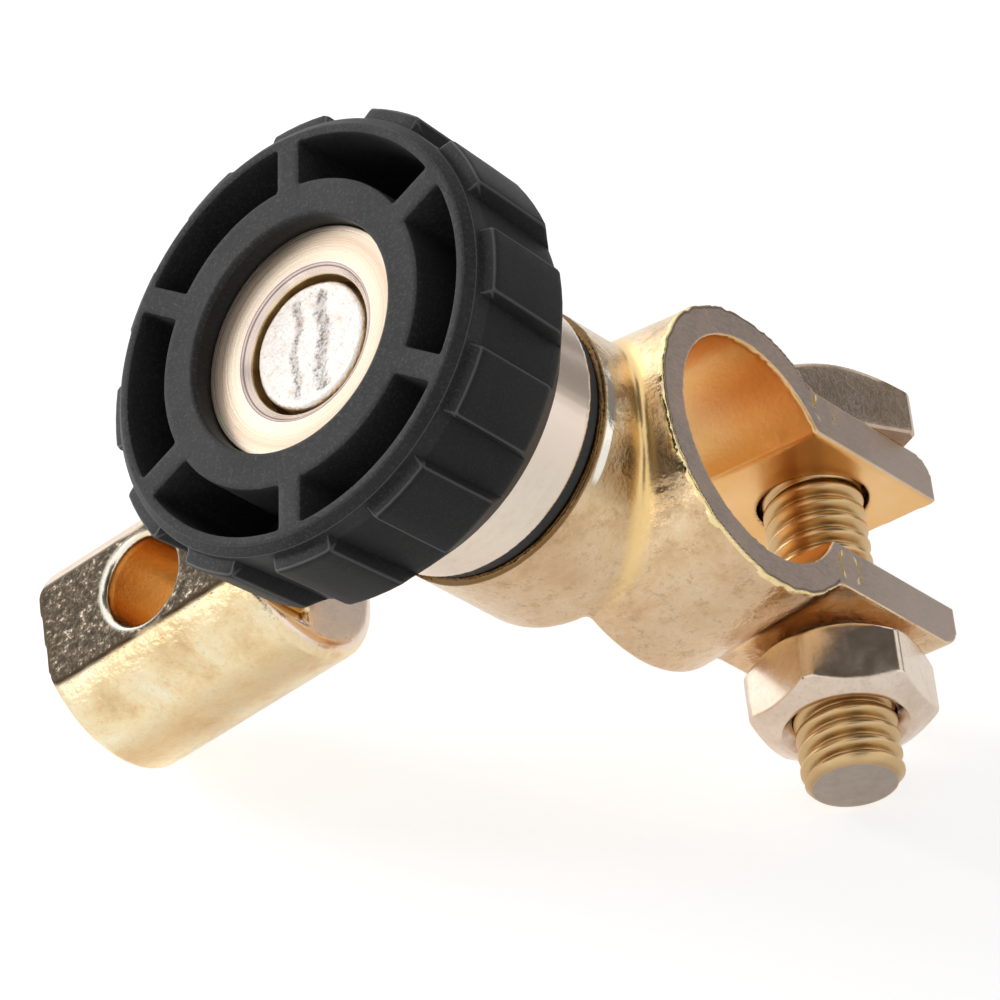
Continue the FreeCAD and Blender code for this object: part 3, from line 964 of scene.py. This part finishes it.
knob_finish, shader, add, fill = new_finish("matt_black_moulding")
place = own_place(add)
skin = spots(add, place, 4200, 5.0, 0.8)
black = ramp(add, spots(add, place, 170, 4.0), [(0.35, 0.042), (0.65, 0.058)])
fill(shader, {
    "Base Color": layered(add, black, [
        (spread(add, skin, 0.48, 0.66, 0.0, 0.7), (0.125, 0.125, 0.126)),
        (spread(add, own_value(add, "shaded"), 0.2, 0.9, 0.0, 0.5), (0.012, 0.012, 0.012)),
        (spread(add, own_value(add, "edge_highlight_lines"), 0.3, 1.0, 0.0, 0.7), (0.25, 0.25, 0.25)),
    ]),
    "Roughness": spread(add, skin, 0.3, 0.7, 0.4, 0.56),
    "Specular IOR Level": 0.13,
    "Normal": relief(add, skin, 0.00006, 0.7),
})
knob.data.materials.append(knob_finish)
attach(knob, "knob")
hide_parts("knob")


# Clamp bolt. A plated bolt of 5/16 inch with a chamfered square head, put through both ears
# from the far side. Its thread is rolled along the whole shank and its end is chamfered and
# flat.

bolt_x = 16.4
bolt_height = 6.75
bolt_seat = -8.6
bolt_head_top = -14.0
bolt_end = 20.15
bolt_radius = 3.98
bolt_rings = 330
head_half = 6.5
head_face = 6.2
head_turn = math.radians(20)


def round_bolt(y, radius, angle):
    """Points at places along the bolt's axis, at a radius and an angle from +X to +Z."""
    x = bolt_x + radius * np.cos(angle)
    z = bolt_height + radius * np.sin(angle)
    return np.stack(np.broadcast_arrays(x, y, z), axis=-1)


def bolt_rows(rings, angle):
    """Rows about the bolt's axis, each from a place along it and a radius."""
    return np.concatenate([round_bolt(y, radius, angle) for y, radius in rings])


def polygon_radius(angle, half, sides, corner_at, corner_round):
    """Distance to the side of a regular polygon, with its corners cut to a circle."""
    step = 2 * np.pi / sides
    past = np.mod(angle - corner_at, step) - step / 2
    corner = half / math.cos(step / 2)
    return np.minimum(half / np.cos(past), corner - corner_round)


def polygon_angles(sides, corner_at, per_side):
    """Angles of columns that fall on each corner and closer together near it."""
    share = np.linspace(0, 1, per_side, endpoint=False)
    share = share - 0.13 * np.sin(2 * np.pi * share)
    step = 2 * np.pi / sides
    return (corner_at + step * (np.arange(sides)[:, None] + share)).reshape(1, -1)


angle = polygon_angles(4, head_turn, 26)
outline = polygon_radius(angle, head_half, 4, head_turn, 0.35)
past_face = outline - head_face
fall = np.maximum(past_face, 0) * math.tan(math.radians(30))
head_rows = bolt_rows([
    (bolt_head_top, 0.4),
    (bolt_head_top, 5.7),
    (bolt_head_top + 0.03, 6.1),
    *(
        (bolt_head_top + 0.08 + fall * share, head_face + past_face * share)
        for share in (0.05, 0.5, 0.94)
    ),
    (bolt_head_top + 0.2 + fall, outline),
    (bolt_head_top + 0.45 + fall, outline),
    (bolt_seat - 0.5, outline),
    (bolt_seat - 0.2, outline - 0.04),
    (bolt_seat - 0.03, outline - 0.25),
    (bolt_seat, outline - 0.5),
    (bolt_seat, bolt_radius + 0.2),
    (bolt_seat, bolt_radius),
], angle)
shank_y = np.linspace(bolt_seat + 0.3, bolt_end - 0.02, bolt_rings)[:, None]
cut = fade(shank_y, bolt_seat + 3, bolt_seat + 4)
chamfered = bolt_radius - np.clip(shank_y - (bolt_end - 0.8), 0, 0.8) ** 1.3 * 0.86
screw = np.minimum(thread(shank_y, angle, bolt_radius, thread_depth * cut), chamfered)
shank_rows = round_bolt(shank_y, screw, angle)
end_rows = bolt_rows([(bolt_end, 3.2), (bolt_end, 3.0), (bolt_end, 0.4)], angle)
bolt_points = np.concatenate([head_rows, shank_rows, end_rows])
bolt = grid_piece("square_head_bolt", bolt_points, False, 24.0)

# The thread's flanks stay smooth, so no edge between two rings of the shank is sharp.
first_ring = len(head_rows)
edge_rings = point_values(bolt.data)[2] // angle.size
on_shank = np.all((edge_rings >= first_ring) & (edge_rings < first_ring + bolt_rings - 1), axis=1)
sharp = bolt.data.attributes["sharp_edge"].data
was_sharp = np.empty(len(sharp), bool)
sharp.foreach_get("value", was_sharp)
sharp.foreach_set("value", was_sharp & ~on_shank)
for name, rings, share in (
    ("thread_root_shade", slice(first_ring, -3), fade(screw, bolt_radius, bolt_radius - thread_depth)),
    ("thread", slice(first_ring, -3), 1.0),
    ("end", slice(-3, None), 1.0),
):
    on_bolt = np.zeros(bolt_points.shape[:2])
    on_bolt[rings] = share
    attribute(bolt, name, on_bolt.ravel())


def fastener_gold(name):
    """Thin gold plating over steel, pale where tools touched it."""
    material, shader, add, fill = new_finish(name)
    place = own_place(add)
    patches = spots(add, place, 380, 5.0, 0.6, 0.3)
    specks = spots(add, place, 2300, 5.0, 0.7)
    colour = ramp(add, patches, [
        (0.3, (0.62, 0.47, 0.34)),
        (0.5, (0.75, 0.6, 0.47)),
        (0.7, (0.84, 0.71, 0.59)),
    ])
    colour = layered(add, colour, [(spread(add, specks, 0.5, 0.66, 0.0, 0.3), (0.42, 0.31, 0.22))])
    fill(shader, {
        "Metallic": 1.0,
        "Roughness": spread(add, patches, 0.3, 0.7, 0.17, 0.28),
        "Normal": relief(add, specks, 0.00004, 0.4),
    })
    return material, shader, add, fill, colour


bolt_finish, shader, add, fill, colour = fastener_gold("plated_bolt")
threaded = spread(add, own_value(add, "thread"), 0.2, 0.8)
# Painted shade: the roots of the thread are darker brown.
colour = layered(add, colour, [
    (threaded, (0.68, 0.47, 0.24)),
    (spread(add, own_value(add, "thread_root_shade"), 0.3, 1.0, 0.0, 0.9), (0.5, 0.33, 0.16)),
])
end_spots = spots(add, own_place(add), 900, 6.0, 0.7)
end_tone = ramp(add, end_spots, [(0.3, (0.36, 0.29, 0.24)), (0.7, (0.43, 0.36, 0.3))])
dulled = mixed(add, threaded, (0.78, 0.76, 0.74, 1), (1.0, 1.0, 1.0, 1))
darker = add("Mix", {0: 1.0, 6: colour, 7: dulled}, data_type="RGBA", blend_type="MULTIPLY")
fill(shader, {
    "Base Color": mixed(add, own_value(add, "end"), darker.outputs[2], end_tone),
    "Roughness": mixed_value(add, threaded, 0.22, 0.29),
})
bolt.data.materials.append(bolt_finish)
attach(bolt, "bolt")
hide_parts("clamp_bolt")


# Clamp nut. A plated hexagon nut of 5/16 inch, chamfered on both faces and countersunk at
# the mouths of its thread. It screws on the bolt and draws the two ears together.

nut_near = 8.6
nut_far = 15.2
nut_half = 6.48
nut_turn = math.radians(13)
nut_hole = 4.07
nut_mouth = 4.95
near_face = 5.1
far_face = 5.5

angle = polygon_angles(6, nut_turn, 18)
outline = polygon_radius(angle, nut_half, 6, nut_turn, 0.16)
past_near = outline - near_face
past_far = outline - far_face
near_fall = np.maximum(past_near, 0) * math.tan(math.radians(37))
far_fall = np.maximum(past_far, 0) * math.tan(math.radians(30))
nut_rows = bolt_rows([
    (nut_near + 0.7, nut_hole),
    (nut_near + 0.02, nut_mouth),
    (nut_near, nut_mouth + 0.12),
    (nut_near, near_face - 0.12),
    (nut_near + 0.04, near_face),
    (nut_near + 0.07 + near_fall * 0.5, near_face + past_near * 0.5),
    (nut_near + 0.07 + near_fall * 0.96, near_face + past_near * 0.96),
    (nut_near + 0.18 + near_fall, outline),
    (nut_near + 0.4 + near_fall, outline),
    (nut_far - 0.4 - far_fall, outline),
    (nut_far - 0.18 - far_fall, outline),
    (nut_far - 0.07 - far_fall * 0.96, far_face + past_far * 0.96),
    (nut_far - 0.07 - far_fall * 0.5, far_face + past_far * 0.5),
    (nut_far - 0.05, far_face),
    (nut_far, far_face - 0.15),
    (nut_far, nut_mouth + 0.12),
    (nut_far - 0.03, nut_mouth),
    (nut_far - 0.95, nut_hole),
], angle)
nut = grid_piece("hexagon_nut", nut_rows, True, 24.0)
nut_finish, shader, add, fill, colour = fastener_gold("plated_nut")
fill(shader, {"Base Color": mixed(add, 0.3, colour, (0.96, 0.84, 0.72, 1))})
nut.data.materials.append(nut_finish)
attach(nut, "nut")
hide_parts("clamp_nut")


# Floor, light and camera. The clamp lies on a white table, on the end of its lug and the end
# of its bolt, in a white room with soft boxes, and dark cards that its metal mirrors. It is
# seen from its battery side.

camera_right = Vector((0.63313, 0.10146, -0.76737))
camera_up = Vector((-0.34788, -0.84831, -0.39919))
camera_back = Vector((-0.69147, 0.51969, -0.50179))
camera_place = Vector((-0.323043, 0.235783, -0.209798))
camera_lens = 216.8
floor_down = Vector((0.654, 0.4637, 0.5978)).normalized()
floor_offset = 0.02735
table_half = 1.2
table_glow = 0.72
mirrored_glow = 0.78
room_light = 0.3
aim = Vector((-0.011, 0.002, 0.018))

camera_data = bpy.data.cameras.new("camera")
camera_data.lens = camera_lens
camera_data.sensor_width = 36
camera_data.clip_start = 0.01
camera_data.clip_end = 20
camera = link(bpy.data.objects.new("camera", camera_data))
turn = Matrix((camera_right, camera_up, camera_back)).transposed().to_4x4()
camera.matrix_world = Matrix.Translation(camera_place) @ turn
bpy.context.scene.camera = camera


def flat_sheet(name, middle, across, along):
    """Rectangle about its middle, from half its width and half its length as vectors."""
    corners = [middle + across * a + along * b for a, b in ((-1, -1), (1, -1), (1, 1), (-1, 1))]
    mesh = bpy.data.meshes.new(name)
    mesh.from_pydata(corners, [], [(0, 1, 2, 3)])
    mesh.update()
    return link(bpy.data.objects.new(name, mesh))


table_side = floor_down.cross(Vector((0, 0, 1))).normalized() * table_half
table_front = floor_down.cross(table_side)
table = flat_sheet("white_table", floor_down * floor_offset, table_side, table_front)
if table.data.polygons[0].normal.dot(floor_down) > 0:
    table.data.flip_normals()
table_finish, shader, add, fill = new_finish("white_table_top")
fill(shader, {"Base Color": (0.7, 0.7, 0.7, 1), "Roughness": 0.9, "Specular IOR Level": 0.0})
rays = add("LightPath", {}).outputs
mirrored = worked(add, "MULTIPLY", rays["Is Glossy Ray"], mirrored_glow)
glowing = worked(add, "MAXIMUM", rays["Is Camera Ray"], mirrored)
glow = add("Emission", {"Strength": table_glow})
lit = add("AddShader", {0: shader.outputs[0], 1: glow.outputs[0]})
above = add("MixShader", {0: glowing, 1: shader.outputs[0], 2: lit.outputs[0]})
below = add("BsdfTransparent", {})
from_below = add("NewGeometry", {}).outputs["Backfacing"]
hidden = worked(add, "MULTIPLY", from_below, rays["Is Camera Ray"])
last = add("MixShader", {0: hidden, 1: above.outputs[0], 2: below.outputs[0]})
fill(table_finish.node_tree.nodes["Material Output"], {"Surface": last.outputs[0]})
table.data.materials.append(table_finish)


def camera_way(direction):
    """Unit vector of a direction that is given as right, up and back in the picture."""
    right, up, back = direction
    return (camera_right * right + camera_up * up + camera_back * back).normalized()


def soft_box(name, direction, distance, size, power, mirrored=True):
    """Soft box that looks at the clamp from a direction given as right, up and back."""
    lamp = bpy.data.lights.new(name, "AREA")
    lamp.shape = "RECTANGLE"
    lamp.size, lamp.size_y = size
    lamp.energy = power
    placed = link(bpy.data.objects.new(name, lamp))
    placed.visible_glossy = mirrored
    way = camera_way(direction)
    turned_to = way.to_track_quat("Z", "Y").to_matrix().to_4x4()
    placed.matrix_world = Matrix.Translation(aim + way * distance) @ turned_to


def dark_card(name, direction, distance, size, tone):
    """Dark card that only metal and gloss show, from a direction given as right, up and back."""
    way = camera_way(direction)
    across = way.orthogonal().normalized()
    along = way.cross(across)
    middle = aim + way * distance
    card = flat_sheet(name, middle, across * size[0] / 2, along * size[1] / 2)
    card.visible_camera = False
    card.visible_diffuse = False
    card.visible_shadow = False
    card_finish, shader, add, fill = new_finish(name)
    colour = (tone, tone * 0.93, tone * 0.87, 1)
    fill(shader, {"Base Color": colour, "Roughness": 0.8, "Specular IOR Level": 0.1})
    card.data.materials.append(card_finish)


soft_box("soft_box_left", (-0.933, 0.289, -0.213), 0.6, (0.26, 0.26), 3.1, False)
soft_box("gloss_box_left", (-0.95, 0.33, -0.18), 0.61, (0.26, 0.26), 0.36)
soft_box("soft_box_behind", (-0.6, 0.7, -0.5), 0.6, (0.5, 0.4), 0.4)
soft_box("soft_box_low", (-0.77, -0.4, 0.5), 0.5, (0.24, 0.24), 0.22)
dark_card("dark_card_above", (0.38, 0.85, 0.32), 0.45, (0.42, 0.42), 0.13)
dark_card("dark_card_in_front", (0.3, 0.05, 1.0), 0.5, (0.3, 0.3), 0.13)
dark_card("dark_card_behind", (0.45, 0.42, -0.78), 0.5, (0.26, 0.26), 0.3)
dark_card("dark_card_right", (0.84, 0.33, -0.4), 0.5, (0.2, 0.26), 0.35)
dark_card("dark_card_left", (-0.87, 0.02, 0.49), 0.48, (0.22, 0.22), 0.13)

world = bpy.data.worlds.new("white_room")
world.use_nodes = True
bpy.context.scene.world = world
add, fill = node_tools(world.node_tree)
rays = add("LightPath", {}).outputs
white_to = worked(add, "MAXIMUM", rays["Is Camera Ray"], rays["Is Glossy Ray"])
white_to = worked(add, "MAXIMUM", white_to, rays["Is Transmission Ray"])
fill(world.node_tree.nodes["Background"], {
    "Color": (1, 1, 1, 1),
    "Strength": mixed_value(add, white_to, room_light, 1.0),
})

bpy.context.scene.view_settings.view_transform = "Standard"
